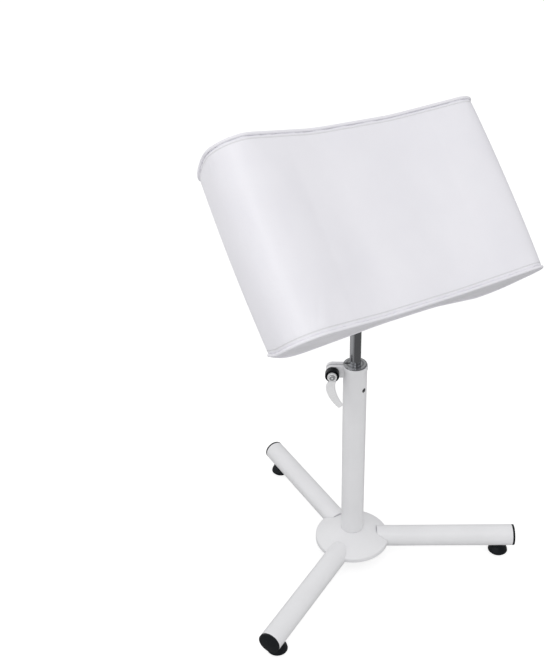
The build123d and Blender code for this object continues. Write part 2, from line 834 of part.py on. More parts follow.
with BuildPart() as hinge_nut:
    with BuildSketch(hinge_plane(washer_outside)):
        RegularPolygon(hinge_bolt_head_across / 2, 6, major_radius=False)
        Circle(hinge_bolt_radius + running_clearance, mode=Mode.SUBTRACT)
    extrude(amount=hinge_nut_height)
    nut_top = hinge_nut.faces().sort_by(Axis(pivot, hinge))[-1]
    chamfer(nut_top.outer_wire().edges(), length=hinge_nut_chamfer)
hinge_nut.part.label = "hinge_nut"
export_step(hinge_nut.part, "parts/hinge_nut.step")

# Friction disc, cushion plate and the bolt that the cushion turns on
web_top = fork_web_underside + fork_web_thickness
disc_start = web_top + face_clearance
plate_start = disc_start + friction_disc_thickness + face_clearance
plate_top = plate_start + plate_thickness
washer_height = fork_web_underside - face_clearance - turn_washer_thickness
nut_start = washer_height - turn_nut_height
turn_head_height = turn_bolt_head_radius - turn_bolt_radius

with BuildPart() as friction_disc:
    with BuildSketch(fork_plane(disc_start)):
        Circle(friction_disc_radius)
        Circle(turn_bolt_radius + close_clearance, mode=Mode.SUBTRACT)
    extrude(amount=friction_disc_thickness)
friction_disc.part.label = "friction_disc"
export_step(friction_disc.part, "parts/friction_disc.step")

with BuildPart() as cushion_plate:
    with BuildSketch(plan_plane(plate_start)):
        RectangleRounded(plate_across, plate_along, plate_corner)
        Circle(turn_bolt_radius + close_clearance, mode=Mode.SUBTRACT)
        with GridLocations(plate_screw_spacing_across, plate_screw_spacing_along, 2, 2):
            Circle(plate_screw_hole_radius, mode=Mode.SUBTRACT)
    extrude(amount=plate_thickness)
    with BuildSketch(plan_plane(plate_top)):
        Circle(turn_bolt_head_radius + close_clearance)
    extrude(amount=-turn_head_height, taper=45, mode=Mode.SUBTRACT)
cushion_plate.part.label = "cushion_plate"
export_step(cushion_plate.part, "parts/cushion_plate.step")

with BuildPart() as turn_bolt:
    with BuildSketch(plan_plane(turn_bolt_tip)):
        Circle(turn_bolt_radius)
    extrude(amount=plate_top - turn_bolt_tip)
    with BuildSketch(plan_plane(plate_top)):
        Circle(turn_bolt_head_radius)
    extrude(amount=-turn_head_height, taper=45)
turn_bolt.part.label = "turn_bolt"
export_step(turn_bolt.part, "parts/turn_bolt.step")

with BuildPart() as turn_washer:
    with BuildSketch(plan_plane(washer_height)):
        Circle(turn_washer_radius)
        Circle(turn_bolt_radius + close_clearance, mode=Mode.SUBTRACT)
    extrude(amount=turn_washer_thickness)
turn_washer.part.label = "turn_washer"
export_step(turn_washer.part, "parts/turn_washer.step")

with BuildPart() as turn_nut:
    with BuildSketch(plan_plane(nut_start)):
        RegularPolygon(turn_nut_across / 2, 6, major_radius=False)
        Circle(turn_bolt_radius + running_clearance, mode=Mode.SUBTRACT)
    extrude(amount=turn_nut_height)
turn_nut.part.label = "turn_nut"
export_step(turn_nut.part, "parts/turn_nut.step")

# Screws that hold the cushion plate to the board
with BuildPart() as plate_screws:
    with BuildSketch(plan_plane(plate_start)):
        with GridLocations(plate_screw_spacing_across, plate_screw_spacing_along, 2, 2):
            Circle(plate_screw_radius)
    extrude(amount=plate_screw_length)
    with BuildSketch(plan_plane(plate_start)):
        with GridLocations(plate_screw_spacing_across, plate_screw_spacing_along, 2, 2):
            Circle(plate_screw_head_radius)
    extrude(amount=-plate_screw_head_height)
    with BuildSketch(plan_plane(plate_start - plate_screw_head_height)):
        with GridLocations(plate_screw_spacing_across, plate_screw_spacing_along, 2, 2):
            Rectangle(plate_screw_drive_across, plate_screw_drive_across)
    extrude(amount=plate_screw_drive_depth, mode=Mode.SUBTRACT)
plate_screws.part.label = "plate_screws"
export_step(plate_screws.part, "parts/plate_screws.step")

# Board inside the cushion, just over the underside of the waist
board_start = cushion_underside + sleeve_thickness + close_clearance

with BuildPart() as back_board:
    with BuildSketch(plan_plane(board_start)):
        RectangleRounded(board_length, board_width, board_corner)
        with GridLocations(plate_screw_spacing_across, plate_screw_spacing_along, 2, 2):
            Circle(plate_screw_radius + running_clearance, mode=Mode.SUBTRACT)
    extrude(amount=board_thickness)
back_board.part.label = "back_board"
export_step(back_board.part, "parts/back_board.step")


# Outline of the cushion, scaled from the waist's underside and then drawn in by an inset
def cushion_outline(share, inset, distance):
    corners = [
        (lobe_half - lobe_lean, lobe_bottom, lobe_bottom_round),
        (lobe_half, lobe_top, lobe_top_round),
        (waist_top_half, waist_thickness, waist_top_round),
        (-waist_top_half, waist_thickness, waist_top_round),
        (-lobe_half, lobe_top, lobe_top_round),
        (lobe_lean - lobe_half, lobe_bottom, lobe_bottom_round),
        (-waist_bottom_half, 0, waist_bottom_round),
        (waist_bottom_half, 0, waist_bottom_round),
    ]
    with BuildSketch(section_plane(distance)) as outline:
        with BuildLine():
            FilletPolyline(
                [(across * share, high * share) for across, high, _ in corners],
                radius=[turn * share for _, _, turn in corners],
                close=True,
            )
        make_face()
        if inset > 0:
            offset(amount=-inset, kind=Kind.INTERSECTION, mode=Mode.REPLACE)
    return outline


# Body of the cushion: full in the middle and drawn in towards both ends
piping_centre = cushion_length / 2 - piping_radius
sleeve_end = piping_centre - piping_radius - close_clearance
panel_inset = piping_inset + piping_radius + close_clearance
panel_start = cushion_length / 2 - panel_thickness


def cushion_body(inset, reach):
    with BuildPart() as body:
        for distance, share in [(-reach, end_drawn_in_share), (0, 1), (reach, end_drawn_in_share)]:
            add(cushion_outline(share, inset, distance).sketch)
        loft()
    return body


sleeve_inside = cushion_body(sleeve_thickness, sleeve_end)
sleeve_outside = cushion_body(0, sleeve_end)

with BuildPart() as cover_sleeve:
    add(sleeve_outside.part)
    add(sleeve_inside.part, mode=Mode.SUBTRACT)
    with BuildSketch(plan_plane(plate_start)):
        with GridLocations(plate_screw_spacing_across, plate_screw_spacing_along, 2, 2):
            Circle(plate_screw_hole_radius)
    extrude(amount=board_start - plate_start, mode=Mode.SUBTRACT)
cover_sleeve.part.label = "cover_sleeve"
export_step(cover_sleeve.part, "parts/cover_sleeve.step")

# Foam core, with thinner ends inside the piping and a pocket for the board
foam_inset = sleeve_thickness + close_clearance
foam_reach = sleeve_end - close_clearance
foam_body = cushion_body(foam_inset, foam_reach)
foam_end = panel_start - close_clearance
foam_end_outline = cushion_outline(end_drawn_in_share, panel_inset, 0)

with BuildPart() as foam_core:
    add(foam_body.part)
    add(foam_end_outline.sketch)
    extrude(amount=foam_end, dir=cushion_along, both=True)
    with BuildSketch(plan_plane(board_start - close_clearance * 2)):
        RectangleRounded(board_length + close_clearance * 2, board_width + close_clearance * 2, board_corner)
    extrude(amount=board_thickness + close_clearance * 3, mode=Mode.SUBTRACT)
foam_core.part.label = "foam_core"
export_step(foam_core.part, "parts/foam_core.step")


# End panels and the piping around them
def build_panel(distance):
    outline = cushion_outline(end_drawn_in_share, panel_inset, distance)
    with BuildPart() as panel:
        add(outline.sketch)
        extrude(amount=panel_thickness / 2, dir=cushion_along, both=True)
    return panel


def build_piping(distance):
    outline = cushion_outline(end_drawn_in_share, piping_inset, distance)
    course = outline.sketch.face().outer_wire()
    with BuildPart() as piping:
        with BuildLine():
            add(course)
        with BuildSketch(Plane(origin=course @ 0, z_dir=course % 0)):
            Circle(piping_radius)
        sweep()
    return piping


for side, direction in [("lower", 1), ("upper", -1)]:
    panel = build_panel(direction * (panel_start + panel_thickness / 2))
    panel.part.label = "end_panel_" + side
    export_step(panel.part, "parts/end_panel_" + side + ".step")

    piping = build_piping(direction * piping_centre)
    piping.part.label = "piping_" + side
    export_step(piping.part, "parts/piping_" + side + ".step")
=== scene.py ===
import json
import math

import bpy
from mathutils import Matrix, Vector


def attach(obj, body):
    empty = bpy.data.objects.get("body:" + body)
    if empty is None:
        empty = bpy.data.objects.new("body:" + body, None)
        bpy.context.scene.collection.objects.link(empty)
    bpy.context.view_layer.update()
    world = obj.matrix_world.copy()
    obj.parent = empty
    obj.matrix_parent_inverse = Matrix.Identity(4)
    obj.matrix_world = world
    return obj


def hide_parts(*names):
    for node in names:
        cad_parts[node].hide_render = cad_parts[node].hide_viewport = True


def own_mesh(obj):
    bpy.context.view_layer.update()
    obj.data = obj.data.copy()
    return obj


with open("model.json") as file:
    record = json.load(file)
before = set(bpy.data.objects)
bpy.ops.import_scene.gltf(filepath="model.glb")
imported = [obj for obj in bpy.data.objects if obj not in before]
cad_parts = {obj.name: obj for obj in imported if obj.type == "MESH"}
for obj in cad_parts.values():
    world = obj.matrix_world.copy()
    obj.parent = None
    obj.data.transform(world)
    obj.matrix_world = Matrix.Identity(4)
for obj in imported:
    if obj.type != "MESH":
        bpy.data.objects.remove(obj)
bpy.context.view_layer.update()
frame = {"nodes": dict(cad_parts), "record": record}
mm = 0.001
white = (1.0, 1.0, 1.0, 1.0)
worldUp = Vector((0, 0, 1))


def deselectAll():
    for item in bpy.context.selected_objects:
        item.select_set(False)


def makeActive(piece):
    deselectAll()
    piece.select_set(True)
    bpy.context.view_layer.objects.active = piece


def placeInScene(name, content):
    piece = bpy.data.objects.new(name, content)
    bpy.context.collection.objects.link(piece)
    return piece


def applyModifier(piece, modifier):
    makeActive(piece)
    bpy.ops.object.modifier_apply(modifier=modifier.name)


def heading(degrees):
    angle = math.radians(degrees)
    return Vector((math.cos(angle), math.sin(angle), 0))


# Node helpers

srgbCurve = {"knee": 0.04045, "slope": 12.92, "offset": 0.055, "power": 2.4}


def linearColor(hexText):
    channels = []
    for i in (1, 3, 5):
        share = int(hexText[i:i + 2], 16) / 255
        if share <= srgbCurve["knee"]:
            channels.append(share / srgbCurve["slope"])
        else:
            lifted = (share + srgbCurve["offset"]) / (1 + srgbCurve["offset"])
            channels.append(lifted ** srgbCurve["power"])
    return (*channels, 1.0)


def addNode(tree, kind, settings=None, values=None, links=None):
    node = tree.nodes.new(kind)
    for name, value in (settings or {}).items():
        setattr(node, name, value)
    for name, value in (values or {}).items():
        node.inputs[name].default_value = value
    for name, source in (links or {}).items():
        tree.links.new(source, node.inputs[name])
    return node


def addMath(tree, kind, operation, *terms):
    # a term is the output of another node, or a plain value
    linked = {i: t for i, t in enumerate(terms) if isinstance(t, bpy.types.NodeSocket)}
    plain = {i: t for i, t in enumerate(terms) if i not in linked}
    return addNode(tree, kind, settings={"operation": operation}, values=plain, links=linked)


def mathOf(tree, operation, *terms):
    return addMath(tree, "ShaderNodeMath", operation, *terms).outputs[0]


def objectSpace(tree):
    return addNode(tree, "ShaderNodeTexCoord").outputs["Object"]


def noiseOf(tree, vector, scale, detail, distortion=0.0):
    return addNode(tree, "ShaderNodeTexNoise", links={"Vector": vector}, values={
        "Scale": scale, "Detail": detail, "Distortion": distortion}).outputs["Fac"]


def stretched(tree, vector, scale, turn=0.0):
    return addNode(tree, "ShaderNodeMapping", links={"Vector": vector},
                   values={"Scale": scale, "Rotation": (0.0, 0.0, turn)}).outputs["Vector"]


def stepBetween(tree, value, start, end, low=0.0, high=1.0):
    # low before start, high after end, and a soft S between them
    return addNode(tree, "ShaderNodeMapRange", settings={"interpolation_type": "SMOOTHSTEP"},
                   values={"From Min": start, "From Max": end, "To Min": low, "To Max": high},
                   links={"Value": value}).outputs["Result"]


def toneBetween(tree, value, look):
    # a ramp from the dark to the light tone of a look
    ramp = addNode(tree, "ShaderNodeValToRGB", links={"Fac": value})
    first, last = ramp.color_ramp.elements
    first.position, last.position = look["darkAt"], look["lightAt"]
    first.color, last.color = linearColor(look["dark"]), linearColor(look["light"])
    return ramp.outputs["Color"]


def mixTone(tree, share, first, second):
    # a tone is a hex text or the output of another node
    inputs = {"Color1": first, "Color2": second}
    values = {k: linearColor(v) for k, v in inputs.items() if isinstance(v, str)}
    links = {k: v for k, v in inputs.items() if k not in values}
    links["Fac"] = share
    return addNode(tree, "ShaderNodeMixRGB", values=values, links=links).outputs["Color"]


def bumpOf(tree, height, size, under=None):
    # size is the strength and the depth in millimetres
    links = {"Height": height}
    if under:
        links["Normal"] = under
    return addNode(tree, "ShaderNodeBump", values={"Strength": size[0], "Distance": size[1] * mm},
                   links=links).outputs["Normal"]


def newMaterial(name):
    material = bpy.data.materials.new(name)
    material.use_nodes = True
    material.node_tree.nodes.clear()
    return material, material.node_tree


def finishMaterial(tree, shader):
    addNode(tree, "ShaderNodeOutputMaterial", links={"Surface": shader.outputs[0]})


def finishSurface(tree, tone, normal, values, roughness=None):
    links = {"Base Color": tone, "Normal": normal}
    if roughness:
        links["Roughness"] = roughness
    finishMaterial(tree, addNode(tree, "ShaderNodeBsdfPrincipled", values=values, links=links))


# Directions of the tilted head, as in the CAD: hinge, normal, and the cushion's across and along

headPose = {"hingeAngle": 43.9, "tilt": 47.5, "turn": -8.5, "pivotHeight": 556.8}
tiltAngle, turnAngle = (math.radians(headPose[k]) for k in ("tilt", "turn"))
hingeAxis = heading(headPose["hingeAngle"])
headNormal = worldUp * math.cos(tiltAngle) + hingeAxis.cross(worldUp) * math.sin(tiltAngle)
headSlope = headNormal.cross(hingeAxis)
cushionAcross = hingeAxis * math.cos(turnAngle) + headSlope * math.sin(turnAngle)
cushionAlong = headNormal.cross(cushionAcross) * -1
headPivot = worldUp * (headPose["pivotHeight"] * mm)


# Leatherette: seamAt, puckerFrom and panelFrom are millimetres from the cushion's middle

leather = {
    "dark": "#E7E6EC", "light": "#EDECF1", "darkAt": 0.3, "lightAt": 0.75,
    "cloudScale": 9.0, "cloudDetail": 3.0,
    # the seam's tone is painted shade in the stitched groove
    "seamShadeTone": "#DBDBDE", "seamAt": 118.4, "seamWide": 1.3, "seamBump": (0.5, 0.8),
    "puckerFrom": 96.0, "puckerStretch": (95.0, 95.0, 14.0), "puckerDetail": 1.5,
    "puckerBump": (0.45, 1.6),
    "panelFrom": 124.6, "foldStretch": (16.0, 60.0, 10.0), "foldTurn": 0.35, "foldDetail": 2.5,
    # the fold tone is painted shade in the folds of the end panels
    "foldDistortion": 0.9, "foldBump": (0.4, 2.5), "paintedFoldShade": "#E2E2E5", "foldFrom": 0.42,
    "foldTo": 0.66, "foldShade": 0.8,
    "grain": 620.0, "grainSmooth": 0.4, "grainBump": (0.16, 0.25),
    "roughFrom": 0.2, "roughTo": 0.8, "roughLow": 0.4, "roughHigh": 0.5, "ior": 1.5,
}


def cushionSpace(tree, place):
    # across, high and along the cushion in metres, so that puckers lie true on the tilted pad
    fromPivot = addMath(tree, "ShaderNodeVectorMath", "SUBTRACT", place, headPivot).outputs[0]
    shares = {}
    for socket, direction in (("X", cushionAcross), ("Y", headNormal), ("Z", cushionAlong)):
        share = addMath(tree, "ShaderNodeVectorMath", "DOT_PRODUCT", fromPivot, direction)
        shares[socket] = share.outputs["Value"]
    return addNode(tree, "ShaderNodeCombineXYZ", links=shares).outputs[0]


def whiteLeatherette():
    # coated knit, embossed and calendered: soft broad highlights, and puckers by the stitched line
    material, tree = newMaterial("whiteLeatherette")
    place = objectSpace(tree)
    parts = cushionSpace(tree, place)
    fromMiddle = addNode(tree, "ShaderNodeAttribute",
                         settings={"attribute_name": "fromMiddle"}).outputs["Fac"]
    cloud = noiseOf(tree, place, leather["cloudScale"], leather["cloudDetail"])
    # the stitched line: 1 away from it and 0 in its groove, where a darker tone is painted in as
    # shade
    seamGap = mathOf(tree, "ABSOLUTE", mathOf(tree, "SUBTRACT", fromMiddle, leather["seamAt"] * mm))
    groove = stepBetween(tree, seamGap, 0.0, leather["seamWide"] * mm)
    seamShadeTone = mixTone(tree, groove, leather["seamShadeTone"], toneBetween(tree, cloud, leather))
    # puckers that run away from the seam
    nearSeam = stepBetween(tree, fromMiddle, leather["puckerFrom"] * mm, leather["seamAt"] * mm)
    squeezed = stretched(tree, parts, leather["puckerStretch"])
    ripple = noiseOf(tree, squeezed, 1.0, leather["puckerDetail"])
    pucker = mathOf(tree, "MULTIPLY", ripple, nearSeam)
    # slacker folds of the end panels, with painted shade: a darker tone is laid where the fold
    # noise is high
    onPanel = mathOf(tree, "GREATER_THAN", fromMiddle, leather["panelFrom"] * mm)
    slanted = stretched(tree, parts, leather["foldStretch"], leather["foldTurn"])
    wave = noiseOf(tree, slanted, 1.0, leather["foldDetail"], leather["foldDistortion"])
    fold = mathOf(tree, "MULTIPLY", wave, onPanel)
    foldShadeShare = stepBetween(tree, fold, leather["foldFrom"], leather["foldTo"],
                            high=leather["foldShade"])
    tone = mixTone(tree, foldShadeShare, seamShadeTone, leather["paintedFoldShade"])
    grain = addNode(tree, "ShaderNodeTexVoronoi", settings={"feature": "SMOOTH_F1"},
                    values={"Scale": leather["grain"], "Smoothness": leather["grainSmooth"]},
                    links={"Vector": place}).outputs["Distance"]
    normal = bumpOf(tree, grain, leather["grainBump"])
    normal = bumpOf(tree, pucker, leather["puckerBump"], normal)
    normal = bumpOf(tree, fold, leather["foldBump"], normal)
    normal = bumpOf(tree, groove, leather["seamBump"], normal)
    roughness = addNode(tree, "ShaderNodeMapRange", links={"Value": cloud}, values={
        "From Min": leather["roughFrom"], "From Max": leather["roughTo"],
        "To Min": leather["roughLow"], "To Max": leather["roughHigh"]}).outputs["Result"]
    finishSurface(tree, tone, normal, {"IOR": leather["ior"]}, roughness)
    return material


powder = {
    "dark": "#E4E4E6", "light": "#E9E9EB", "darkAt": 0.3, "lightAt": 0.7,
    "cloudScale": 14.0, "cloudDetail": 4.0,
    "peelScale": 420.0, "peelDetail": 2.0, "peelBump": (0.12, 0.08),
    "creviceShadeTone": "#C2C2C6", "cornerReach": 3.0, "cornerSamples": 8, "cornerFrom": 0.25,
    "cornerTo": 0.8, "roughness": 0.34, "ior": 1.5,
}


def whitePowderCoat():
    # polyester powder baked on steel: satin, faint orange peel, and painted shade in corners where
    # pieces meet
    material, tree = newMaterial("whitePowderCoat")
    place = objectSpace(tree)
    peel = noiseOf(tree, place, powder["peelScale"], powder["peelDetail"])
    cloud = noiseOf(tree, place, powder["cloudScale"], powder["cloudDetail"])
    # painted shade: ambient occlusion darkens the coat towards the crevice tone in corners and
    # joints
    corner = addNode(tree, "ShaderNodeAmbientOcclusion",
                     settings={"samples": powder["cornerSamples"]},
                     values={"Distance": powder["cornerReach"] * mm}).outputs["AO"]
    openShare = stepBetween(tree, corner, powder["cornerFrom"], powder["cornerTo"])
    tone = mixTone(tree, openShare, powder["creviceShadeTone"], toneBetween(tree, cloud, powder))
    finishSurface(tree, tone, bumpOf(tree, peel, powder["peelBump"]),
                  {"IOR": powder["ior"], "Roughness": powder["roughness"]})
    return material


moulded = {"darkAt": 0.35, "lightAt": 0.7, "detail": 3.0, "bump": (0.18, 0.06), "ior": 1.49}

plasticLooks = {
    # near black with a dull bloom
    "blackPolypropylene": {
        "dark": "#101317", "light": "#191D21", "roughness": 0.4, "sparkScale": 900, "gloss": 0.2},
    # opaque white with a soft shine, as glass fibres lie under its skin
    "whiteGlassFilledNylon": {
        "dark": "#E8E8E9", "light": "#F0F0F1", "roughness": 0.38, "sparkScale": 700, "gloss": 0.5},
    # undyed, a warm waxy white
    "naturalNylon": {
        "dark": "#D9D6C8", "light": "#E3E0D4", "roughness": 0.45, "sparkScale": 500, "gloss": 0.5},
    # open cells cut from a block, quite dull
    "cutFoam": {
        "dark": "#E8DDB4", "light": "#F0E8C8", "roughness": 0.9, "sparkScale": 300, "gloss": 0.5},
}


def mouldedPlastic(name, dark, light, roughness, sparkScale, gloss):
    # injection moulded against a spark-eroded tool: even colour under a fine matt texture
    material, tree = newMaterial(name)
    spark = noiseOf(tree, objectSpace(tree), sparkScale, moulded["detail"])
    tone = toneBetween(tree, spark, {**moulded, "dark": dark, "light": light})
    finishSurface(tree, tone, bumpOf(tree, spark, moulded["bump"]),
                  {"IOR": moulded["ior"], "Roughness": roughness, "Specular IOR Level": gloss})
    return material


metal = {"darkAt": 0.3, "lightAt": 0.72, "detail": 4.0, "bumpDepth": 0.03}

metalLooks = {
    # buffed and plated, a clear mirror
    "polishedChrome": {
        "dark": "#DEDFE1", "light": "#F0F0F1", "roughness": 0.1, "stretch": (700, 700, 700),
        "bumpStrength": 0.02},
    # ground and plated along its length, a dark mirror with fine lines
    "chromedSteel": {
        "dark": "#838487", "light": "#97989B", "roughness": 0.14, "stretch": (2600, 2600, 3),
        "bumpStrength": 0.04},
    # rubbed by the wrench, a soft grey shine
    "burnishedSteel": {
        "dark": "#77787B", "light": "#8C8D90", "roughness": 0.3, "stretch": (700, 700, 700),
        "bumpStrength": 0.1},
    # barrel plated, pale and cloudy
    "zincPlatedSteel": {
        "dark": "#A9ACB0", "light": "#C4C6C8", "roughness": 0.34, "stretch": (800, 800, 800),
        "bumpStrength": 0.1},
    # blackened in a salt bath, a dim sheen
    "blackOxideSteel": {
        "dark": "#1C1D1F", "light": "#2B2C2F", "roughness": 0.38, "stretch": (600, 600, 600),
        "bumpStrength": 0.12},
}


def metalFinish(name, dark, light, roughness, stretch, bumpStrength):
    # fine lines or grain that follow the stretch of the noise
    material, tree = newMaterial(name)
    lines = noiseOf(tree, stretched(tree, objectSpace(tree), stretch), 1.0, metal["detail"])
    tone = toneBetween(tree, lines, {**metal, "dark": dark, "light": light})
    finishSurface(tree, tone, bumpOf(tree, lines, (bumpStrength, metal["bumpDepth"])),
                  {"Metallic": 1.0, "Roughness": roughness})
    return material


turned = {
    "dark": "#A2A3A6", "light": "#CED0D2", "darkAt": 0.2, "lightAt": 0.8, "ringScale": 55.5556,
    "distortion": 0.6, "detail": 2.0, "detailScale": 40.0, "bump": (0.5, 0.12), "roughness": 0.16,
}


def turnedAluminium():
    # faced on a lathe: rings about the axis, as coarse as the render can show, fan reflections out
    material, tree = newMaterial("turnedAluminium")
    rings = addNode(tree, "ShaderNodeTexWave", links={"Vector": objectSpace(tree)},
                    settings={"wave_type": "RINGS", "rings_direction": "Z", "wave_profile": "SIN"},
                    values={"Scale": turned["ringScale"], "Distortion": turned["distortion"],
                            "Detail": turned["detail"],
                            "Detail Scale": turned["detailScale"]}).outputs["Fac"]
    finishSurface(tree, toneBetween(tree, rings, turned), bumpOf(tree, rings, turned["bump"]),
                  {"Metallic": 1.0, "Roughness": turned["roughness"]})
    return material


birch = {
    "dark": "#C9A878", "light": "#E3CBA3", "darkAt": 0.0, "lightAt": 1.0,
    "stretch": (6.0, 60.0, 60.0), "detail": 5.0, "distortion": 0.4, "roughness": 0.7,
}


def birchPlywood():
    # rotary-cut birch: long soft figure along the board
    material, tree = newMaterial("birchPlywood")
    along = stretched(tree, objectSpace(tree), birch["stretch"])
    figure = noiseOf(tree, along, 1.0, birch["detail"], birch["distortion"])
    shader = addNode(tree, "ShaderNodeBsdfPrincipled", values={"Roughness": birch["roughness"]},
                     links={"Base Color": toneBetween(tree, figure, birch)})
    finishMaterial(tree, shader)
    return material


# Materials on the CAD nodes

leatherette = whiteLeatherette()
plastics = {name: mouldedPlastic(name, **look) for name, look in plasticLooks.items()}
metals = {name: metalFinish(name, **look) for name, look in metalLooks.items()}
slotMaterials = {
    "white_steel": whitePowderCoat(),
    "black_plastic": plastics["blackPolypropylene"],
    "turned_aluminium": turnedAluminium(),
    "dark_steel": metals["blackOxideSteel"],
    "bright_steel": metals["chromedSteel"],
    "zinc_steel": metals["zincPlatedSteel"],
    "white_plastic": plastics["whiteGlassFilledNylon"],
    "nylon": plastics["naturalNylon"],
    "white_leatherette": leatherette,
    "foam": plastics["cutFoam"],
    "plywood": birchPlywood(),
}
nodeMaterials = {s["node"]: slotMaterials[s["material_slot"]] for s in frame["record"]["subparts"]}
nodeMaterials["bushing_screw"] = metals["burnishedSteel"]
nodeMaterials["handle_screw"] = metals["polishedChrome"]
for nodeName, nodeObject in frame["nodes"].items():
    nodeObject.data.materials.clear()
    nodeObject.data.materials.append(nodeMaterials[nodeName])
print("materials on the CAD nodes:", len(frame["nodes"]))


# Cushion, in millimetres: each corner is a place across, a height over the underside of the
# waist, and a radius

cushion = {
    "underside": 32.3, "length": 252.8, "endShare": 0.985, "edgeRound": 2.5, "edgeSteps": 4,
    "slack": 1.4, "endSlackShare": 0.6, "rows": 35, "spacing": 5.0,
    "pipingRadius": 2.0, "pipingInset": 1.6, "pipingFacets": 4,
    "tipAcross": -205.0, "tipHigh": -38.0, "tipReach": 22.0, "tipPullNear": 8.0, "tipPullFar": 12.0,
    "corners": [
        (202.0, -62.0, 40.0), (230.0, 74.5, 38.0), (66.0, 41.0, 200.0), (-66.0, 41.0, 200.0),
        (-230.0, 74.5, 38.0), (-202.0, -62.0, 40.0), (-46.0, 0.0, 100.0), (46.0, 0.0, 100.0),
    ],
}
halfLength = cushion["length"] / 2

# The cloth's cap, waist and pin ranges are in millimetres, and a pin of 1 holds a point fast

cloth = {
    "voxel": 4.8, "frames": 20, "pressure": 4.0, "stretch": 25, "bend": 1.5, "cap": 4.0,
    "waist": 120.0, "waistPin": 0.6, "waistPinLeast": 0.3, "seamPin": 1.0, "pinTo": 1.6,
    "pinFrom": 9.0,
}


def roundedOutline(corners, spacing):
    # straight runs and arcs, walked at an even spacing
    arcs = []
    count = len(corners)
    for i, (x, y, radius) in enumerate(corners):
        here = Vector((x, y))
        before, after = (Vector(corners[(i + d) % count][:2]) for d in (-1, 1))
        toBefore, toAfter = (before - here).normalized(), (after - here).normalized()
        half = math.acos(max(-1, min(1, toBefore.dot(toAfter)))) / 2
        reach = radius / math.tan(half)
        centre = here + (toBefore + toAfter).normalized() * (radius / math.sin(half))
        arcs.append((here + toBefore * reach, here + toAfter * reach, centre, radius))
    walk = []
    for i, (start, end, centre, radius) in enumerate(arcs):
        first, last = (math.atan2(p.y - centre.y, p.x - centre.x) for p in (start, end))
        turn = (last - first + math.pi) % (2 * math.pi) - math.pi
        steps = max(2, round(abs(turn) * radius / spacing))
        for s in range(steps):
            angle = first + turn * s / steps
            x, y = (radius * f(angle) for f in (math.cos, math.sin))
            walk.append(Vector((centre.x + x, centre.y + y)))
        follower = arcs[(i + 1) % count][0]
        steps = max(1, round((follower - end).length / spacing))
        walk += [end.lerp(follower, s / steps) for s in range(steps)]
    return walk


def insetOutline(walk, inset):
    # moves each point inwards, square to its neighbours
    followers = walk[1:] + walk[:1]
    area = sum(p.x * q.y - q.x * p.y for p, q in zip(walk, followers))
    side = 1 if area > 0 else -1
    moved = []
    for i, point in enumerate(walk):
        along = (followers[i] - walk[i - 1]).normalized()
        moved.append(point + Vector((-along.y, along.x)) * inset * side)
    return moved


def cushionPoint(across, high, along):
    raised = headNormal * (cushion["underside"] + high)
    return headPivot + (raised + cushionAcross * across + cushionAlong * along) * mm


def cushionPlace(point):
    # across, high and along the cushion in millimetres
    place = (point - headPivot) / mm
    high = place.dot(headNormal) - cushion["underside"]
    return place.dot(cushionAcross), high, place.dot(cushionAlong)


def crownShare(along):
    # full in the middle, drawn in towards both ends
    return 1 - (1 - cushion["endShare"]) * (along / halfLength) ** 2


def seamPull(across, high, along):
    # the cover is gathered at the outer tip of its left lobe, so the seams are drawn in there
    most = cushion["tipPullNear"] if along > 0 else cushion["tipPullFar"]
    away = (across - cushion["tipAcross"]) ** 2 + (high - cushion["tipHigh"]) ** 2
    return most * math.exp(-away / (2 * cushion["tipReach"] ** 2))


def pulledAlong(across, high, along):
    return along * (1 - seamPull(across, high, along) / halfLength)


outline = roundedOutline(cushion["corners"], cushion["spacing"])


def makeCover():
    half = halfLength - cushion["slack"] * cushion["endSlackShare"]
    roundness, rows, steps = cushion["edgeRound"], cushion["rows"], cushion["edgeSteps"]
    flat = half - roundness
    edge = [half - roundness * (1 - math.sin(math.pi / 2 * s / steps)) for s in range(1, steps + 1)]
    stops = [-e for e in reversed(edge)]
    stops += [(-1 + 2 * s / (rows - 1)) * flat for s in range(rows)] + edge
    ring = len(outline)
    points, faces = [], []
    for along in stops:
        over = max(0, abs(along) - flat)
        inset = cushion["slack"] + roundness - math.sqrt(max(0, roundness ** 2 - over ** 2))
        share = crownShare(along)
        for p in insetOutline(outline, inset):
            points.append(cushionPoint(p.x * share, p.y * share, along))
    for s in range(len(stops) - 1):
        for i in range(ring):
            j = (i + 1) % ring
            faces.append([row * ring + k for row, k in ((s, i), (s, j), (s + 1, j), (s + 1, i))])
    faces.append(list(reversed(range(ring))))
    faces.append([(len(stops) - 1) * ring + i for i in range(ring)])
    mesh = bpy.data.meshes.new("cushion_cover")
    mesh.from_pydata(points, [], faces)
    mesh.update()
    cover = placeInScene("cushion_cover", mesh)
    makeActive(cover)
    bpy.ops.object.mode_set(mode="EDIT")
    bpy.ops.mesh.select_all(action="SELECT")
    bpy.ops.mesh.normals_make_consistent(inside=False)
    bpy.ops.object.mode_set(mode="OBJECT")
    return cover


def remeshCover(cover):
    remesh = cover.modifiers.new("Remesh", "REMESH")
    remesh.mode = "VOXEL"
    remesh.voxel_size = cloth["voxel"] * mm
    applyModifier(cover, remesh)


def gatherTip(cover):
    for v in cover.data.vertices:
        across, high, along = cushionPlace(v.co)
        v.co += cushionAlong * (pulledAlong(across, high, along) - along) * mm


def pinCover(cover):
    # the waist lies on its plate and the seams are sewn
    pinned = cover.vertex_groups.new(name="seamLine")
    for v in cover.data.vertices:
        across, high, along = cushionPlace(v.co)
        fromEnd = halfLength - seamPull(across, high, along) - abs(along)
        if abs(across) < cloth["waist"] and fromEnd > cloth["pinFrom"]:
            near = 1 - abs(across) / cloth["waist"]
            pinned.add([v.index], cloth["waistPin"] * near + cloth["waistPinLeast"], "ADD")
        elif cloth["pinTo"] < fromEnd < cloth["pinFrom"]:
            pinned.add([v.index], cloth["seamPin"], "ADD")
    return pinned


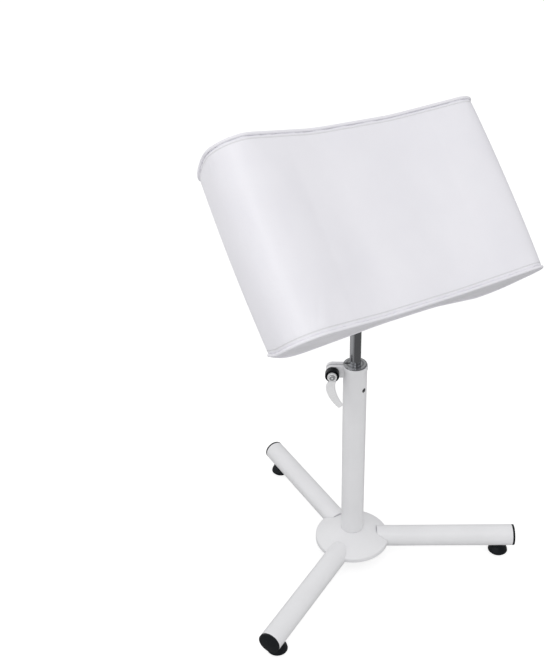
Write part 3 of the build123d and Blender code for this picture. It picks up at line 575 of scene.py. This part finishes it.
def puffCover(cover):
    # the foam presses the cover out: cloth with inner pressure, each point within the cap
    starts = [v.co.copy() for v in cover.data.vertices]
    pinned = pinCover(cover)
    modifier = cover.modifiers.new("Cloth", "CLOTH")
    settings = modifier.settings
    settings.use_pressure = True
    settings.uniform_pressure_force = cloth["pressure"]
    settings.effector_weights.gravity = 0
    settings.tension_stiffness = settings.compression_stiffness = cloth["stretch"]
    settings.bending_stiffness = cloth["bend"]
    settings.vertex_group_mass = pinned.name
    modifier.collision_settings.use_self_collision = False
    modifier.point_cache.frame_start = 1
    modifier.point_cache.frame_end = cloth["frames"]
    for step in range(1, cloth["frames"] + 1):
        bpy.context.scene.frame_set(step)
    applyModifier(cover, modifier)
    bpy.context.scene.frame_set(1)
    cap = cloth["cap"] * mm
    moves = []
    for v, start in zip(cover.data.vertices, starts):
        move = v.co - start
        moves.append(move.length / mm)
        if move.length > cap:
            v.co = start + move.normalized() * cap
    cover.data.update()
    mean = sum(moves) / len(moves)
    print("cover swelled by at most", round(max(moves), 2), "mm, on average", round(mean, 2))


def smoothCover(cover):
    smoother = cover.modifiers.new("Subdivision", "SUBSURF")
    smoother.levels = smoother.render_levels = 1
    applyModifier(cover, smoother)
    bpy.ops.object.shade_smooth()


def markSeamDistance(cover):
    # how far each point lies from the middle when the gathers are let out, for the seam's material
    marks = cover.data.attributes.new("fromMiddle", "FLOAT", "POINT")
    for v in cover.data.vertices:
        across, high, along = cushionPlace(v.co)
        letOut = abs(along) / (1 - seamPull(across, high, along) / halfLength)
        marks.data[v.index].value = letOut * mm


cover = makeCover()
remeshCover(cover)
gatherTip(cover)
puffCover(cover)
smoothCover(cover)
markSeamDistance(cover)
cover.data.materials.append(leatherette)
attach(cover, "cushion")
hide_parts("cover_sleeve", "end_panel_lower", "end_panel_upper", "foam_core", "back_board")
print("cushion cover:", len(cover.data.vertices), "points")


def makePiping(node, direction):
    # a cord in a strip of the cover, sewn round the edge of the end panel
    along = direction * (halfLength - cushion["pipingRadius"])
    share = cushion["endShare"]
    walk = insetOutline(outline, cushion["pipingInset"])
    curve = bpy.data.curves.new(node + "_cord", "CURVE")
    curve.dimensions = "3D"
    curve.bevel_depth = cushion["pipingRadius"] * mm
    curve.bevel_resolution = cushion["pipingFacets"]
    spline = curve.splines.new("POLY")
    spline.points.add(len(walk) - 1)
    spline.use_cyclic_u = True
    for knot, p in zip(spline.points, walk):
        place = cushionPoint(p.x * share, p.y * share, pulledAlong(p.x, p.y, along))
        knot.co = (*place, 1)
    makeActive(placeInScene(node + "_cord", curve))
    bpy.ops.object.convert(target="MESH")
    piece = bpy.context.active_object
    bpy.ops.object.shade_smooth()
    piece.data.materials.append(leatherette)
    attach(piece, "cushion")
    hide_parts(node)


makePiping("piping_lower", 1)
makePiping("piping_upper", -1)
print("piping done")


# Spring in the hub of the clamp handle, which the lifted hub presses together, in millimetres

spring = {"headAngle": 177.0, "lift": 2.4, "mergeWithin": 0.001}


def makeSpring():
    piece = placeInScene("handle_spring_coil", frame["nodes"]["handle_spring"].data.copy())
    makeActive(piece)
    bpy.ops.object.mode_set(mode="EDIT")
    bpy.ops.mesh.select_all(action="SELECT")
    bpy.ops.mesh.remove_doubles(threshold=spring["mergeWithin"] * mm)
    bpy.ops.object.mode_set(mode="OBJECT")
    bpy.ops.object.shade_smooth()
    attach(piece, "clamp")
    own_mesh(piece)
    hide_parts("handle_spring")


makeSpring()


# Floor and world: mirrors see them bright on the left and darker to the right, as in a small studio

stage = {
    "floorSize": 40.0, "floorMix": 0.6, "floorGlow": 1.25, "bounce": "#DDDDDD", "world": 0.80,
    "mirrorLeft": 1.0, "mirrorRight": 0.27, "floorFall": (-0.65, -0.15), "roomFall": (-0.55, 0.25),
}


def mirrorLevel(tree, place, fall):
    x = addNode(tree, "ShaderNodeSeparateXYZ", links={"Vector": place}).outputs["X"]
    return stepBetween(tree, x, *fall, stage["mirrorLeft"], stage["mirrorRight"])


def makeFloor():
    # white paper that keeps the shadow
    deselectAll()
    bpy.ops.mesh.primitive_plane_add(size=stage["floorSize"], location=(0, 0, 0))
    floor = bpy.context.active_object
    floor.name = "studio_floor"
    material, tree = newMaterial("seamlessPaper")
    rays = addNode(tree, "ShaderNodeLightPath").outputs
    tone = mixTone(tree, rays["Is Camera Ray"], stage["bounce"], "#FFFFFF")
    matt = addNode(tree, "ShaderNodeBsdfDiffuse", links={"Color": tone}).outputs[0]
    glow = addNode(tree, "ShaderNodeEmission", values={"Strength": stage["floorGlow"]}).outputs[0]
    share = mathOf(tree, "MULTIPLY", rays["Is Camera Ray"], stage["floorMix"])
    paper = addNode(tree, "ShaderNodeMixShader", links={"Fac": share, 1: matt, 2: glow}).outputs[0]
    level = mirrorLevel(tree, objectSpace(tree), stage["floorFall"])
    mirrored = addNode(tree, "ShaderNodeEmission", links={"Strength": level}).outputs[0]
    mirrorRay = mathOf(tree, "MAXIMUM", rays["Is Glossy Ray"], rays["Is Transmission Ray"])
    finishMaterial(tree, addNode(tree, "ShaderNodeMixShader",
                                 links={"Fac": mirrorRay, 1: paper, 2: mirrored}))
    floor.data.materials.append(material)


def makeWorld():
    # white to the camera, and a soft even light for the rest
    world = bpy.data.worlds.new("softStudio")
    bpy.context.scene.world = world
    world.use_nodes = True
    tree = world.node_tree
    tree.nodes.clear()
    rays = addNode(tree, "ShaderNodeLightPath").outputs
    place = addNode(tree, "ShaderNodeTexCoord").outputs["Generated"]
    level = addNode(tree, "ShaderNodeMapRange", values={"To Min": stage["world"]}, links={
        "Value": rays["Is Glossy Ray"], "To Max": mirrorLevel(tree, place, stage["roomFall"])})
    seen = mathOf(tree, "MAXIMUM", rays["Is Camera Ray"], rays["Is Transmission Ray"])
    strength = addNode(tree, "ShaderNodeMapRange", values={"To Max": 1.0},
                       links={"Value": seen, "To Min": level.outputs["Result"]})
    glow = addNode(tree, "ShaderNodeBackground", values={"Color": white},
                   links={"Strength": strength.outputs["Result"]})
    addNode(tree, "ShaderNodeOutputWorld", links={"Surface": glow.outputs[0]})


# Lamps: square areas, with metres for places and sizes and watts for power

lamps = {
    "keyLamp": {"place": (-0.25, -1.5, 2.1), "aim": (0, 0, 0.45), "size": 1.2, "power": 10.5},
    "fillLamp": {"place": (1.5, -0.6, 1.6), "aim": (0, 0, 0.45), "size": 1.4, "power": 2},
    "sideLamp": {"place": (-1.9, 0.1, 1.3), "aim": (0, 0, 0.5), "size": 1.2, "power": 2.4},
}


def makeLamp(name, place, aim, size, power):
    lamp = bpy.data.lights.new(name, "AREA")
    lamp.size = size
    lamp.energy = power
    holder = placeInScene(name, lamp)
    holder.location = place
    holder.rotation_euler = (Vector(aim) - Vector(place)).to_track_quat("-Z", "Y").to_euler()


# Camera as fitted to the photograph: metres, degrees, and a lens in millimetres

view = {
    "place": (-0.0722, -1.2367, 1.1752), "yaw": -2.01, "pitch": 31.80, "roll": -1.713,
    "lens": 57.17, "sensor": 36, "clipStart": 0.05,
}


def makeCamera():
    yaw, pitch, roll = (math.radians(view[k]) for k in ("yaw", "pitch", "roll"))
    level = Vector((math.sin(yaw), math.cos(yaw), 0))
    forward = level * math.cos(pitch) - worldUp * math.sin(pitch)
    right = Vector((math.cos(yaw), -math.sin(yaw), 0))
    above = right.cross(forward)
    across = right * math.cos(roll) + above * math.sin(roll)
    upwards = above * math.cos(roll) - right * math.sin(roll)
    lens = bpy.data.cameras.new("photoCamera")
    lens.lens = view["lens"]
    lens.sensor_width = view["sensor"]
    lens.sensor_fit = "AUTO"
    lens.clip_start = view["clipStart"]
    holder = placeInScene("photoCamera", lens)
    turn = Matrix((across, upwards, -forward)).transposed().to_4x4()
    holder.matrix_world = Matrix.Translation(view["place"]) @ turn
    bpy.context.scene.camera = holder


makeFloor()
makeWorld()
for lampName, lampValues in lamps.items():
    makeLamp(lampName, **lampValues)
makeCamera()
bpy.context.scene.view_settings.view_transform = "Standard"
print("stage done")
